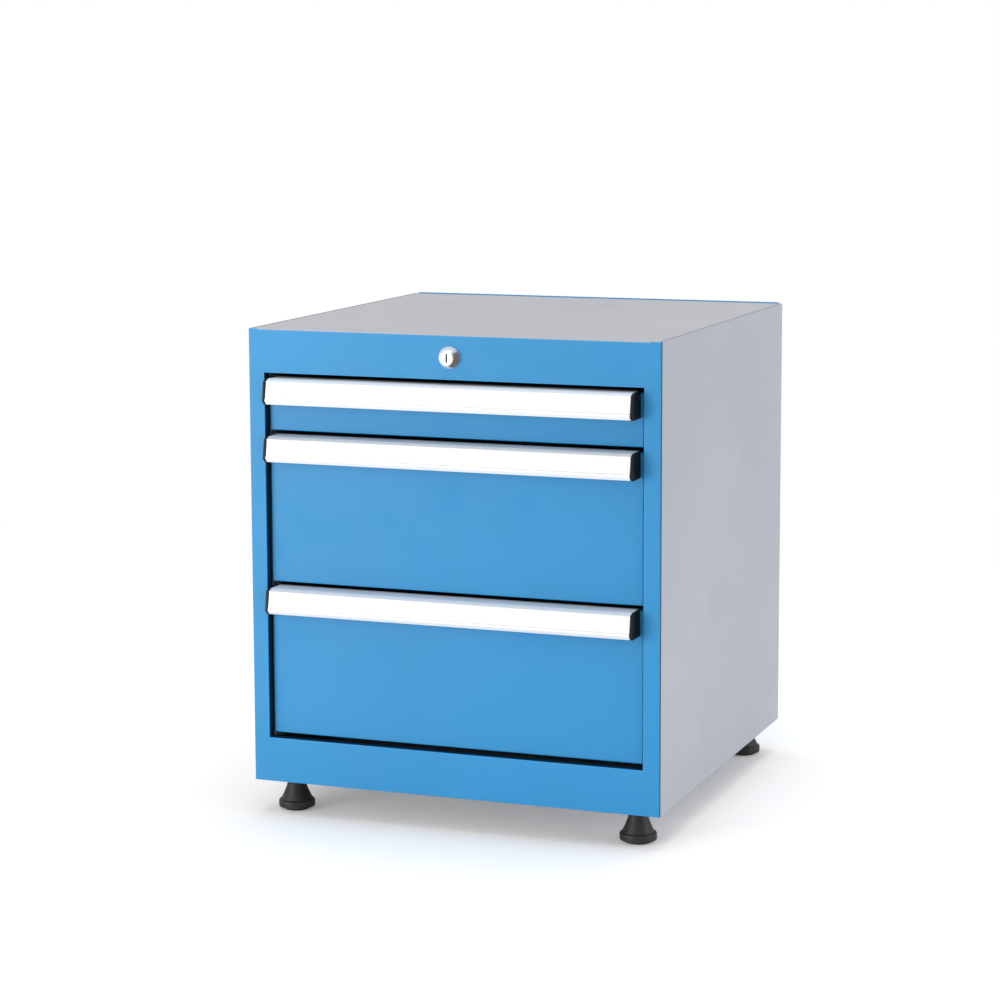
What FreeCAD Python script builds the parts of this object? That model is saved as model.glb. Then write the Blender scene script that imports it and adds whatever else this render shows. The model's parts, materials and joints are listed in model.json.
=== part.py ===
import FreeCAD, Part
import os
import re
import Sketcher
from FreeCAD import Vector

# Drawer cabinet: folded sheet body, three full-width drawers on telescopic runners,
# a central lock that works a lifting bar, and four screw feet.
# Millimetres. X to the right, front towards -Y, floor at Z 0, origin under the middle of the whole.

doc = FreeCAD.newDocument("DrawerCabinet")

# Driving sizes
sizes = {
    # body
    "cabinet_width": 560,
    "cabinet_depth": 570,
    "foot_height": 30,
    "foot_screwed_out": 15,
    "top_rail": 57,
    "bottom_rail": 59,
    "stile": 20.7,
    "frame_sheet": 1.5,
    "panel_sheet": 1.0,
    "top_sheet": 1.2,
    "opening_flange": 15,
    "frame_return": 15,
    "frame_wrap": 3.5,
    "frame_edge_radius": 2,
    "frame_seam": 0.8,
    "frame_corner": 14,
    "top_seam": 0.7,
    "ledge_width": 16,
    "rear_flange": 18,
    "rear_lip": 1.5,
    "top_rear_flange": 20,
    "bottom_pan_height": 40,
    "seat_gap": 0.3,
    "bend_radius": 1.2,
    # uprights
    "upright_width": 30,
    "upright_rear_setback": 35,
    "upright_sheet": 1.2,
    "slot_pitch": 25,
    "slot_length": 12,
    "slot_width": 5,
    # drawers
    "small_module": 75,
    "large_module": 200,
    "top_gap": 6,
    "under_gap": 3,
    "front_gap": 2.5,
    "side_gap": 8.3,
    "face_recess": 10,
    "front_sheet": 1.2,
    "front_tray_depth": 16,
    "front_edge_radius": 2,
    "front_return": 16,
    "box_rise": 8,
    "box_headroom": 25,
    "box_sheet": 1.0,
    "box_hem": 10,
    "box_hem_sheet": 1.1,
    "box_rear_space": 33,
    "screw_shank": 4,
    "screw_head": 7,
    "screw_head_height": 2.8,
    "screw_length": 8,
    "screw_slot": 7,
    "screw_hole_gap": 0.2,
    "screw_inset": 6,
    "screw_low": 12,
    "screw_high": 16,
    # handles
    "handle_proud": 24,
    "handle_height": 33,
    "handle_wall": 2,
    "handle_leg": 1.6,
    "handle_hook": 6,
    "handle_top_setback": 12.1,
    "shoulder_setback": 4.5,
    "shoulder_drop": 3,
    "knee_height": 5,
    "lower_setback": 4.6,
    "shoulder_radius": 1.5,
    "top_radius": 6,
    "knee_radius": 3,
    "recess_depth": 0.8,
    "recess_from_shoulder": 1.5,
    "recess_from_knee": 3,
    "label_sheet": 0.5,
    "label_gap": 0.2,
    "label_end_gap": 3,
    "cap_thickness": 4,
    "cap_overhang": 0.4,
    "cap_corner": 3,
    # runners
    "runner_stack": 14.3,
    "runner_height": 45,
    "runner_sheet": 1.2,
    "runner_lip": 1.2,
    "runner_gap": 0.3,
    "runner_rise": 25,
    "runner_front_gap": 2,
    "outer_past_box": 28,
    "middle_short": 17,
    "inner_short": 8,
    # lock
    "lock_base": 28,
    "lock_base_rim": 1.5,
    "lock_face": 20,
    "lock_proud": 10.3,
    "lock_barrel": 19,
    "lock_barrel_length": 28,
    "lock_hole_gap": 0.2,
    "plug_diameter": 14.5,
    "plug_gap": 0.05,
    "plug_recess": 0.3,
    "plug_tail": 30,
    "key_slot_height": 11.7,
    "key_slot_width": 2.4,
    "key_slot_depth": 8,
    "lock_nut_flats": 24,
    "lock_nut_height": 5,
    "rod_diameter": 8,
    "rod_gap": 0.05,
    "crank_radius": 12,
    "crank_sheet": 3,
    "crank_rim": 5,
    "crank_to_bar": 2,
    "pin_diameter": 5,
    "pin_play": 0.5,
    "pin_end": 1.5,
    "bar_width": 24,
    "bar_sheet": 3,
    "bar_setback": 42,
    "bar_above_pin": 14,
    "bar_below_hook": 100,
    "hook_sheet": 3,
    "catch_sheet": 1.5,
    "catch_leg": 25,
    "catch_drop": 6,
    "catch_lip": 15,
    "catch_reach": 24,
    "catch_play": 2,
    "catch_clearance": 2,
    "guide_sheet": 1.5,
    "guide_height": 16,
    "guide_low": 60,
    "guide_high": 20,
    "bracket_setback": 71,
    "bracket_sheet": 1.5,
    "bracket_width": 32,
    "bracket_drop": 16,
    "bracket_flange": 20,
    # feet
    "foot_side_inset": 41,
    "foot_front_inset": 42,
    "foot_rear_inset": 40,
    "foot_pad": 31,
    "foot_pad_height": 3,
    "foot_rim": 48,
    "foot_rim_top": 8,
    "foot_neck": 22.5,
    "foot_neck_start": 32,
    "foot_top": 52,
    "stud_diameter": 10,
    "stud_top": 92,
    "stud_hole_gap": 0.5,
    "nut_flats": 17,
    "nut_height": 8,
    "nut_bore_gap": 0.05,
}

sheet = doc.addObject("Spreadsheet::Sheet", "Sizes")
for row, (alias, number) in enumerate(sizes.items(), 1):
    sheet.set(f"A{row}", alias.replace("_", " "))
    sheet.set(f"B{row}", str(number))
    sheet.setAlias(f"B{row}", alias)
doc.recompute()

# Places worked out from the sizes
places = {
    "half_width": "cabinet_width / 2",
    "front_y": "-(cabinet_depth - handle_proud) / 2",
    "back_y": "(cabinet_depth + handle_proud) / 2",
    "body_bottom": "foot_height + foot_screwed_out",
    "opening_height": "top_gap + small_module + 2 * large_module + under_gap",
    "body_top": "body_bottom + bottom_rail + opening_height + top_rail",
    "opening_top": "body_top - top_rail",
    "opening_bottom": "body_bottom + bottom_rail",
    "half_opening": "half_width - stile",
    "frame_back_y": "front_y + frame_sheet",
    "return_back_y": "front_y + frame_return",
    "return_outer_x": "half_width - panel_sheet - seat_gap",
    "top_under": "body_top - top_sheet",
    "back_inner_y": "back_y - panel_sheet",
    "ledge_x": "half_width - ledge_width",
    "pan_half": "return_outer_x - frame_sheet - seat_gap",
    "pan_top": "body_bottom + bottom_pan_height",
    "pan_under": "pan_top - top_sheet",
    "pan_skirt": "body_bottom + frame_sheet + seat_gap",
    "upright_front_y": "front_y + opening_flange + seat_gap",
    "upright_rear_y": "back_y - upright_rear_setback - upright_width",
    "face_y": "front_y + face_recess",
    "box_front_y": "face_y + front_tray_depth",
    "bar_front_y": "back_y - bar_setback",
    "box_back_y": "bar_front_y - box_rear_space",
    "half_front": "half_opening - side_gap",
    "half_box": "half_opening - runner_stack",
    "handle_top_1": "opening_top - top_gap",
    "handle_top_2": "handle_top_1 - small_module",
    "handle_top_3": "handle_top_2 - large_module",
    "lock_z": "body_top - top_rail / 2",
    "bar_lift": "crank_radius * sqrt(2)",
    "bar_x": "-crank_radius * (1 + sqrt(0.5)) / 2",
    "pin_x": "-crank_radius * sqrt(0.5)",
    "pin_z": "lock_z - crank_radius * sqrt(0.5)",
    "crank_y": "bar_front_y - crank_to_bar - crank_sheet",
}
modules = {1: "small_module", 2: "large_module", 3: "large_module"}
sides = {"left": -1, "right": 1}
for number, module in modules.items():
    places[f"front_bottom_{number}"] = f"handle_top_{number} - {module} + front_gap"
    places[f"box_top_{number}"] = f"front_bottom_{number} + box_rise + {module} - box_headroom"
    places[f"runner_z_{number}"] = f"front_bottom_{number} + box_rise + runner_rise"
    places[f"catch_under_{number}"] = f"box_top_{number} - catch_drop - catch_sheet"
    places[f"tooth_top_{number}"] = f"catch_under_{number} - bar_lift - catch_clearance"
    places[f"arm_top_{number}"] = f"catch_under_{number} - catch_lip - bar_lift - catch_clearance"


def linked(text):
    """Names of sizes and places, turned into references that an expression can follow."""
    def reference(word):
        if word[0] in sizes:
            return f"Sizes.{word[0]}"
        return f"Places.{word[0]}" if word[0] in places else word[0]
    return re.sub(r"[a-z]\w*", reference, str(text))


place_set = doc.addObject("App::VarSet", "Places")
for name, text in places.items():
    place_set.addProperty("App::PropertyFloat", name, "Places")
    place_set.setExpression(name, linked(text))
doc.recompute()


def value(text):
    return float(sheet.evalExpression(linked(text)))


# Sketches and features
def new_body(label):
    body = doc.addObject("PartDesign::Body", "Body_" + label)
    body.Label = label
    return body


def origin_plane(body, role):
    return [part for part in body.Origin.OriginFeatures if part.Role == role][0]


def draw_outline(sketch, corners):
    first = sketch.GeometryCount
    count = len(corners)
    points = [Vector(value(across), value(up), 0) for across, up in corners]
    lines = [Part.LineSegment(points[i], points[(i + 1) % count]) for i in range(count)]
    sketch.addGeometry(lines, False)
    joined = [Sketcher.Constraint("Coincident", first + i, 2, first + (i + 1) % count, 1)
              for i in range(count)]
    sketch.addConstraint(joined)
    for i, (across, up) in enumerate(corners):
        for kind, text in (("DistanceX", across), ("DistanceY", up)):
            constraint = Sketcher.Constraint(kind, -1, 1, first + i, 1, value(text))
            place = sketch.addConstraint(constraint)
            sketch.setExpression(f"Constraints[{place}]", linked(text))


def draw_circle(sketch, across, up, radius):
    centre = Vector(value(across), value(up), 0)
    circle = sketch.addGeometry(Part.Circle(centre, Vector(0, 0, 1), value(radius)), False)
    rules = (("DistanceX", across), ("DistanceY", up))
    for kind, text in rules:
        place = sketch.addConstraint(Sketcher.Constraint(kind, -1, 1, circle, 3, value(text)))
        sketch.setExpression(f"Constraints[{place}]", linked(text))
    place = sketch.addConstraint(Sketcher.Constraint("Radius", circle, value(radius)))
    sketch.setExpression(f"Constraints[{place}]", linked(radius))


def draw(sketch, loops):
    """A loop of corners is an outline, a loop of (across, up, radius) is a circle."""
    for loop in loops:
        if isinstance(loop, tuple):
            draw_circle(sketch, *loop)
        else:
            draw_outline(sketch, loop)


def rectangle(left, right, low, high):
    return [(left, low), (right, low), (right, high), (left, high)]


def mirrored_rectangle(half, low, high):
    return rectangle(f"-({half})", half, low, high)


plane_roles = {"x": "YZ_Plane", "y": "XZ_Plane", "z": "XY_Plane"}


def extrude(body, name, along, start, end, loops, cut=False):
    """Outlines across one axis, padded or pocketed from start to end along it."""
    sketch = body.newObject("Sketcher::SketchObject", name + "_sketch")
    sketch.AttachmentSupport = [(origin_plane(body, plane_roles[along]), "")]
    sketch.MapMode = "FlatFace"
    offset = f"-({end})" if along == "y" else start
    sketch.setExpression("AttachmentOffset.Base.z", linked(offset))
    draw(sketch, loops)
    feature = body.newObject("PartDesign::Pocket" if cut else "PartDesign::Pad", name)
    feature.Profile = sketch
    feature.Reversed = cut
    feature.setExpression("Length", linked(f"{end} - ({start})"))
    sketch.Visibility = False
    return feature


def revolve(body, name, role, axis, corners):
    """An outline turned about one axis of its own sketch."""
    sketch = body.newObject("Sketcher::SketchObject", name + "_sketch")
    sketch.AttachmentSupport = [(origin_plane(body, role), "")]
    sketch.MapMode = "FlatFace"
    draw_outline(sketch, corners)
    feature = body.newObject("PartDesign::Revolution", name)
    feature.Profile = sketch
    feature.ReferenceAxis = (sketch, [axis])
    feature.Angle = 360
    return feature


def mirror_across(body, name, originals):
    """A copy on the other side of the middle plane."""
    feature = body.newObject("PartDesign::Mirrored", name)
    feature.Originals = originals
    feature.MirrorPlane = (origin_plane(body, "YZ_Plane"), [""])
    body.Tip = feature
    return feature


def row_of(body, name, original, step, count):
    """A row of copies upwards, one step apart."""
    feature = body.newObject("PartDesign::LinearPattern", name)
    feature.Originals = [original]
    feature.Direction = (original.Profile[0], ["V_Axis"])
    feature.setExpression("Length", linked(f"{step} * ({count} - 1)"))
    feature.setExpression("Occurrences", linked(count))
    body.Tip = feature
    return feature


def place_body(body, **where):
    """The body's own place along the named axes."""
    for axis, text in where.items():
        body.setExpression(f"Placement.Base.{axis}", linked(text))


def straight_edge(along, **where):
    """A test for a straight edge along one axis that passes through the named place."""
    def test(edge):
        if edge.Curve.TypeId != "Part::GeomLine":
            return False
        start, end = edge.Vertexes[0].Point, edge.Vertexes[-1].Point
        if abs(getattr(start - end, along)) < 0.01:
            return False
        return all(abs(getattr(point, axis) - value(text)) < 0.01
                   for point in (start, end) for axis, text in where.items())
    return test


def fillet(body, name, radius, *tests):
    base = body.Tip
    doc.recompute([base])
    chosen = [f"Edge{i}" for i, edge in enumerate(base.Shape.Edges, 1)
              if any(test(edge) for test in tests)]
    if not chosen:
        raise RuntimeError(f"{name}: no edge was found")
    feature = body.newObject("PartDesign::Fillet", name)
    feature.Base = (base, chosen)
    feature.setExpression("Radius", linked(radius))
    return feature


def hexagon(across, up, flats):
    """Six corners round a centre, with two flats upright."""
    half = f"{flats} / 2"
    low = f"{flats} / (2 * sqrt(3))"
    tip = f"{flats} / sqrt(3)"
    return [(f"{across} + {half}", f"{up} - {low}"), (f"{across} + {half}", f"{up} + {low}"),
            (across, f"{up} + {tip}"), (f"{across} - {half}", f"{up} + {low}"),
            (f"{across} - {half}", f"{up} - {low}"), (across, f"{up} - {tip}")]


# Body of the cabinet
def front_frame():
    body = new_body("front_frame")
    corner = "half_width - frame_corner"
    outline = [("-half_width", "body_bottom"), ("half_width", "body_bottom"),
               ("half_width", "body_top"), (corner, "body_top"), (corner, "top_under"),
               (f"-({corner})", "top_under"), (f"-({corner})", "body_top"),
               ("-half_width", "body_top")]
    opening = mirrored_rectangle("half_opening", "opening_bottom", "opening_top")
    lock_hole = ("0", "lock_z", "lock_barrel / 2 + lock_hole_gap")
    extrude(body, "frame_face", "y", "front_y", "frame_back_y", [outline, opening, lock_hole])
    around = mirrored_rectangle("half_opening + frame_sheet", "opening_bottom - frame_sheet",
                                "opening_top + frame_sheet")
    extrude(body, "opening_flanges", "y", "front_y", "front_y + opening_flange", [around, opening])
    outside = mirrored_rectangle("return_outer_x", "body_bottom", "top_under")
    inside = mirrored_rectangle("return_outer_x - frame_sheet", "body_bottom + frame_sheet",
                                "top_under - frame_sheet")
    extrude(body, "outer_returns", "y", "front_y", "return_back_y", [outside, inside])
    inner = "half_width - frame_sheet"
    floor = "body_bottom + frame_sheet"
    wrap = [("-half_width", "body_bottom"), ("half_width", "body_bottom"), ("half_width", "body_top"),
            (inner, "body_top"), (inner, floor), (f"-({inner})", floor), (f"-({inner})", "body_top"),
            ("-half_width", "body_top")]
    extrude(body, "edge_wrap", "y", "front_y", "frame_back_y + frame_wrap", [wrap])
    fillet(body, "edge_bends", "frame_edge_radius",
           straight_edge("x", y="front_y", z="body_bottom"),
           straight_edge("z", y="front_y", x="half_width"),
           straight_edge("z", y="front_y", x="-half_width"))
    return body


def side_panel(side, sign):
    """A folded sheet with a flange spot-welded along its lower edge."""
    body = new_body(f"side_sheet_{side}")
    outer = f"{sign} * half_width"
    inner = f"{sign} * (half_width - panel_sheet)"
    ledge = f"{sign} * ledge_x"
    front = "return_back_y + seat_gap"
    left, right = (inner, outer) if sign > 0 else (outer, inner)
    extrude(body, "sheet", "x", left, right,
            [rectangle("frame_back_y + frame_wrap + frame_seam", "back_y", "body_bottom", "body_top")])
    extrude(body, "top_ledge", "z", "top_under - panel_sheet", "top_under",
            [rectangle(ledge, outer, front, "back_y")])
    extrude(body, "rear_flange", "y", "back_inner_y", "back_y",
            [rectangle(f"{sign} * (half_width - rear_flange)", outer, "body_bottom", "body_top")])
    fillet(body, "rear_bend", "bend_radius", straight_edge("z", x=outer, y="back_y"))
    flange = new_body(f"side_bottom_flange_{side}")
    extrude(flange, "sheet", "z", "body_bottom", "body_bottom + panel_sheet",
            [rectangle(ledge, inner, front, "back_inner_y")])
    return [body, flange]


def top_panel():
    body = new_body("top_panel")
    side = "half_width - panel_sheet - top_seam"
    corner = "half_width - frame_corner - seat_gap"
    notch = "frame_back_y + seat_gap"
    outline = [(f"-({corner})", "front_y"), (corner, "front_y"), (corner, notch), (side, notch),
               (side, "back_inner_y"), (f"-({side})", "back_inner_y"), (f"-({side})", notch),
               (f"-({corner})", notch)]
    extrude(body, "sheet", "z", "top_under", "body_top", [outline])
    extrude(body, "rear_flange", "y", "back_inner_y - top_sheet", "back_inner_y",
            [mirrored_rectangle("ledge_x - seat_gap", "body_top - top_rear_flange", "body_top")])
    return body


def back_panel():
    body = new_body("back_panel")
    extrude(body, "sheet", "y", "back_inner_y", "back_y",
            [mirrored_rectangle("half_width - rear_flange - seat_gap", "pan_skirt",
                                "body_top + rear_lip")])
    return body


foot_places = {
    "foot_front_left": ("-(half_width - foot_side_inset)", "front_y + foot_front_inset"),
    "foot_front_right": ("half_width - foot_side_inset", "front_y + foot_front_inset"),
    "foot_rear_left": ("-(half_width - foot_side_inset)", "back_y - foot_rear_inset"),
    "foot_rear_right": ("half_width - foot_side_inset", "back_y - foot_rear_inset"),
}


def bottom_panel():
    """A flat sheet with skirts spot-welded under its four edges."""
    front = "frame_back_y + seat_gap"
    pan = new_body("pan_sheet")
    holes = [(x, y, "stud_diameter / 2 + stud_hole_gap") for x, y in foot_places.values()]
    extrude(pan, "sheet", "z", "pan_under", "pan_top",
            [mirrored_rectangle("pan_half", front, "back_inner_y")] + holes)
    end_skirts = new_body("pan_end_skirts")
    extrude(end_skirts, "front_skirt", "y", front, f"{front} + top_sheet",
            [mirrored_rectangle("pan_half", "pan_skirt", "pan_under")])
    extrude(end_skirts, "rear_skirt", "y", "back_inner_y - top_sheet", "back_inner_y",
            [mirrored_rectangle("pan_half", "pan_skirt", "pan_under")])
    side_skirts = new_body("pan_side_skirts")
    skirt = extrude(side_skirts, "skirt", "x", "pan_half - top_sheet", "pan_half",
                    [rectangle(f"{front} + top_sheet", "back_inner_y - top_sheet",
                               "pan_skirt", "pan_under")])
    mirror_across(side_skirts, "both_sides", [skirt])
    return [pan, end_skirts, side_skirts]


def upright(end, side, sign):
    """A slotted channel, web towards the drawers, open towards the side panel."""
    body = new_body(f"upright_{end}_{side}")
    near = f"{sign} * half_opening"
    web = f"{sign} * (half_opening + upright_sheet)"
    far = f"{sign} * return_outer_x"
    front = f"upright_{end}_y"
    rear = f"{front} + upright_width"
    outline = [(near, front), (far, front), (far, f"{front} + upright_sheet"),
               (web, f"{front} + upright_sheet"), (web, f"{rear} - upright_sheet"),
               (far, f"{rear} - upright_sheet"), (far, rear), (near, rear)]
    top = "top_under - panel_sheet - seat_gap"
    extrude(body, "channel", "z", "pan_top", top, [outline])
    left, right = (near, web) if sign > 0 else (web, near)
    middle = f"{front} + upright_width / 2"
    slot = extrude(body, "slot", "x", left, right,
                   [rectangle(f"{middle} - slot_width / 2", f"{middle} + slot_width / 2",
                              "pan_top + slot_pitch - slot_length / 2",
                              "pan_top + slot_pitch + slot_length / 2")], cut=True)
    row_of(body, "slots", slot, "slot_pitch", f"floor(({top} - pan_top) / slot_pitch) - 1")
    return body


# Telescopic runners: outer rail on the uprights, inner rail on the drawer, one between them
def channel(web, web_inside, flange_end, half, half_inside):
    return [(web, f"-({half})"), (web, half), (flange_end, half), (flange_end, half_inside),
            (web_inside, half_inside), (web_inside, f"-({half_inside})"),
            (flange_end, f"-({half_inside})"), (flange_end, f"-({half})")]


def runner_outer(number):
    body = new_body(f"runner_outer_{number}")
    web = "half_opening"
    end = "half_opening - runner_stack + 3 * runner_sheet - runner_gap"
    half = "runner_height / 2"
    lip = f"{half} - runner_sheet - runner_lip"
    inside = f"{half} - runner_sheet"
    outline = [(web, f"-({half})"), (web, half), (end, half), (end, lip),
               (f"{end} + runner_sheet", lip), (f"{end} + runner_sheet", inside),
               (f"{web} - runner_sheet", inside), (f"{web} - runner_sheet", f"-({inside})"),
               (f"{end} + runner_sheet", f"-({inside})"), (f"{end} + runner_sheet", f"-({lip})"),
               (end, f"-({lip})"), (end, f"-({half})")]
    rail = extrude(body, "rail", "y", "box_front_y + runner_front_gap",
                   "box_back_y + outer_past_box", [outline])
    mirror_across(body, "both_sides", [rail])
    place_body(body, z=f"runner_z_{number}")
    return body


def runner_middle(number):
    body = new_body(f"runner_middle_{number}")
    web = "half_opening - runner_sheet - runner_gap"
    end = "half_opening - runner_stack + 4 * runner_sheet"
    half = "runner_height / 2 - runner_sheet - runner_gap"
    rail = extrude(body, "rail", "y", "box_front_y + runner_front_gap",
                   "box_back_y - middle_short",
                   [channel(web, f"{web} - runner_sheet", end, half, f"{half} - runner_sheet")])
    mirror_across(body, "both_sides", [rail])
    place_body(body, z=f"runner_z_{number}")
    return body


def runner_inner(number):
    body = new_body(f"runner_inner_{number}")
    end = "half_opening - 2 * runner_sheet - 2 * runner_gap"
    half = "runner_height / 2 - 2 * runner_sheet - 2 * runner_gap"
    rail = extrude(body, "rail", "y", "box_front_y + runner_front_gap / 2",
                   "box_back_y - inner_short",
                   [channel("half_box", "half_box + runner_sheet", end, half,
                            f"{half} - runner_sheet")])
    mirror_across(body, "both_sides", [rail])
    place_body(body, z=f"runner_z_{number}")
    return body


# Drawers, each in its own height measured from the lower edge of its front
def screw_places(module):
    across = "half_box - screw_inset"
    low = "box_rise + screw_low"
    high = f"box_rise + {module} - box_headroom - screw_high"
    return [(f"{sign} * ({across})", up) for sign in (-1, 1) for up in (low, high)]


def screw_slots(module):
    """Level slots for the screws, so that the front can be lined up."""
    tall = "screw_shank / 2 + screw_hole_gap"
    return [rectangle(f"{x} - screw_slot / 2", f"{x} + screw_slot / 2", f"{z} - ({tall})",
                      f"{z} + {tall}") for x, z in screw_places(module)]


def drawer_box(number, module):
    """A floor, side walls and end walls with hemmed edges, spot-welded where they meet."""
    top = f"box_rise + {module} - box_headroom"
    hem = f"{top} - box_hem"
    rim = "box_sheet + box_hem_sheet"
    between = "half_box - box_sheet"
    floor = new_body(f"drawer_floor_{number}")
    extrude(floor, "sheet", "z", "box_rise", "box_rise + box_sheet",
            [mirrored_rectangle(between, "box_front_y + box_sheet", "box_back_y - box_sheet")])
    side_walls = new_body(f"drawer_side_walls_{number}")
    wall = extrude(side_walls, "wall", "x", between, "half_box",
                   [rectangle("box_front_y", "box_back_y", "box_rise", top)])
    fold = extrude(side_walls, "hem", "x", f"half_box - ({rim})", between,
                   [rectangle(f"box_front_y + {rim}", f"box_back_y - ({rim})", hem, top)])
    mirror_across(side_walls, "both_sides", [wall, fold])
    end_walls = new_body(f"drawer_end_walls_{number}")
    outline = mirrored_rectangle(between, "box_rise", top)
    edge = mirrored_rectangle(between, hem, top)
    extrude(end_walls, "front_wall", "y", "box_front_y", "box_front_y + box_sheet",
            [outline] + screw_slots(module))
    extrude(end_walls, "front_hem", "y", "box_front_y + box_sheet", f"box_front_y + {rim}", [edge])
    extrude(end_walls, "rear_wall", "y", "box_back_y - box_sheet", "box_back_y", [outline])
    extrude(end_walls, "rear_hem", "y", f"box_back_y - ({rim})", "box_back_y - box_sheet", [edge])
    sheets = [floor, side_walls, end_walls]
    for body in sheets:
        place_body(body, z=f"front_bottom_{number}")
    return sheets


def drawer_front(number, module):
    body = new_body(f"drawer_front_{number}")
    top = f"{module} - front_gap - handle_wall"
    extrude(body, "block", "y", "face_y", "box_front_y", [mirrored_rectangle("half_front", "0", top)])
    fillet(body, "face_edges", "front_edge_radius",
           straight_edge("x", y="face_y", z="0"), straight_edge("x", y="face_y", z=top),
           straight_edge("z", y="face_y", x="half_front"),
           straight_edge("z", y="face_y", x="-half_front"))
    extrude(body, "hollow", "y", "face_y + front_sheet", "box_front_y",
            [mirrored_rectangle("half_front - front_sheet", "front_sheet",
                                f"{top} - front_sheet")], cut=True)
    for sign, name in ((-1, "left_return"), (1, "right_return")):
        extrude(body, name, "y", "box_front_y - front_sheet", "box_front_y",
                [rectangle(f"{sign} * (half_front - front_return)", f"{sign} * half_front",
                           "front_sheet", f"{top} - front_sheet")])
    extrude(body, "screw_slots", "y", "box_front_y - front_sheet", "box_front_y",
            screw_slots(module), cut=True)
    place_body(body, z=f"front_bottom_{number}")
    return body


def drawer_screws(number, module):
    body = new_body(f"drawer_screws_{number}")
    inner_face = "box_front_y + box_sheet"
    heads = [hexagon(x, z, "screw_head") for x, z in screw_places(module)]
    shanks = [(x, z, "screw_shank / 2") for x, z in screw_places(module)]
    extrude(body, "heads", "y", inner_face, f"{inner_face} + screw_head_height", heads)
    extrude(body, "shanks", "y", f"{inner_face} - screw_length", inner_face, shanks)
    place_body(body, z=f"front_bottom_{number}")
    return body


# Grip strip: an extruded profile hooked over the front's top edge, height measured from its top
knee = "(face_y - face_recess - handle_proud + cap_overhang)"
shoulder = f"({knee} + shoulder_setback)"
knee_z = "(-handle_height + knee_height)"
shoulder_z = "(-shoulder_drop)"


def grip_face(height, inwards="0"):
    """Place along Y of the sloping face at one height, moved inwards."""
    slope = f"({knee} - {shoulder}) / ({knee_z} - {shoulder_z})"
    return f"{shoulder} + ({height} - {shoulder_z}) * {slope} + {inwards}"


recess_top = f"{shoulder_z} - recess_from_shoulder"
recess_bottom = f"{knee_z} + recess_from_knee"


def handle(number):
    body = new_body(f"handle_{number}")
    top_front = f"{knee} + handle_top_setback"
    lower = f"{knee} + lower_setback"
    lip = "handle_wall * 0.7"
    bottom = "-handle_height"
    outline = [
        ("face_y + handle_hook", "0"),
        (top_front, "0"),
        (shoulder, shoulder_z),
        (grip_face(recess_top), recess_top),
        (grip_face(recess_top, "recess_depth"), recess_top),
        (grip_face(recess_bottom, "recess_depth"), recess_bottom),
        (grip_face(recess_bottom), recess_bottom),
        (knee, knee_z),
        (lower, bottom),
        (f"{lower} + {lip}", f"{bottom} + {lip}"),
        (f"{knee} + handle_wall", knee_z),
        (f"{shoulder} + handle_wall", f"{shoulder_z} - handle_wall / 3"),
        (f"{top_front} + handle_wall / 4", "-handle_wall"),
        ("face_y - handle_leg", "-handle_wall"),
        ("face_y - handle_leg", bottom),
        ("face_y", bottom),
        ("face_y", "-handle_wall"),
        ("face_y + handle_hook", "-handle_wall"),
    ]
    half = "half_front - cap_thickness"
    extrude(body, "profile", "x", f"-({half})", half, [outline])
    fillet(body, "top_round", "top_radius", straight_edge("x", y=top_front, z="0"))
    fillet(body, "shoulder_round", "shoulder_radius", straight_edge("x", y=shoulder, z=shoulder_z))
    fillet(body, "knee_round", "knee_radius", straight_edge("x", y=knee, z=knee_z))
    place_body(body, z=f"handle_top_{number}")
    return body


def handle_cap(number, side, sign):
    body = new_body(f"handle_cap_{side}_{number}")
    over = "cap_overhang"
    outline = [("face_y", over), (f"{knee} + handle_top_setback", over),
               (f"{shoulder} - {over}", f"{shoulder_z} + {over}"), (f"{knee} - {over}", knee_z),
               (f"{knee} + lower_setback", f"-handle_height - {over}"),
               ("face_y", f"-handle_height - {over}")]
    near = f"{sign} * (half_front - cap_thickness)"
    far = f"{sign} * half_front"
    left, right = (near, far) if sign > 0 else (far, near)
    extrude(body, "cap", "x", left, right, [outline])
    fillet(body, "knee_round", "cap_corner", straight_edge("x", y=f"{knee} - {over}", z=knee_z),
           straight_edge("x", y=f"{knee} + lower_setback", z=f"-handle_height - {over}"))
    place_body(body, z=f"handle_top_{number}")
    return body


def label_strip(number):
    body = new_body(f"label_strip_{number}")
    top = f"{recess_top} - label_gap"
    bottom = f"{recess_bottom} + label_gap"
    outline = [(grip_face(top, "recess_depth"), top),
               (grip_face(top, "recess_depth - label_sheet"), top),
               (grip_face(bottom, "recess_depth - label_sheet"), bottom),
               (grip_face(bottom, "recess_depth"), bottom)]
    half = "half_front - cap_thickness - label_end_gap"
    extrude(body, "strip", "x", f"-({half})", half, [outline])
    place_body(body, z=f"handle_top_{number}")
    return body


# Lock: a plug in the top rail turns a rod, whose crank lifts a hooked bar behind the drawers
def lock_housing():
    body = new_body("lock_housing")
    bore = "plug_diameter / 2 + plug_gap"
    end = "front_y + lock_barrel_length"
    face = "front_y - lock_proud"
    outline = [("front_y", "lock_barrel / 2"), ("front_y", "lock_base / 2"),
               ("front_y - lock_base_rim", "lock_base / 2"),
               (face, "lock_face / 2"), (face, bore), (end, bore), (end, "lock_barrel / 2")]
    revolve(body, "turned", "YZ_Plane", "H_Axis", outline)
    place_body(body, z="lock_z")
    return body


def lock_nut():
    body = new_body("lock_nut")
    bore = ("0", "lock_z", "lock_barrel / 2")
    extrude(body, "nut", "y", "frame_back_y", "frame_back_y + lock_nut_height",
            [hexagon("0", "lock_z", "lock_nut_flats"), bore])
    return body


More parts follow.
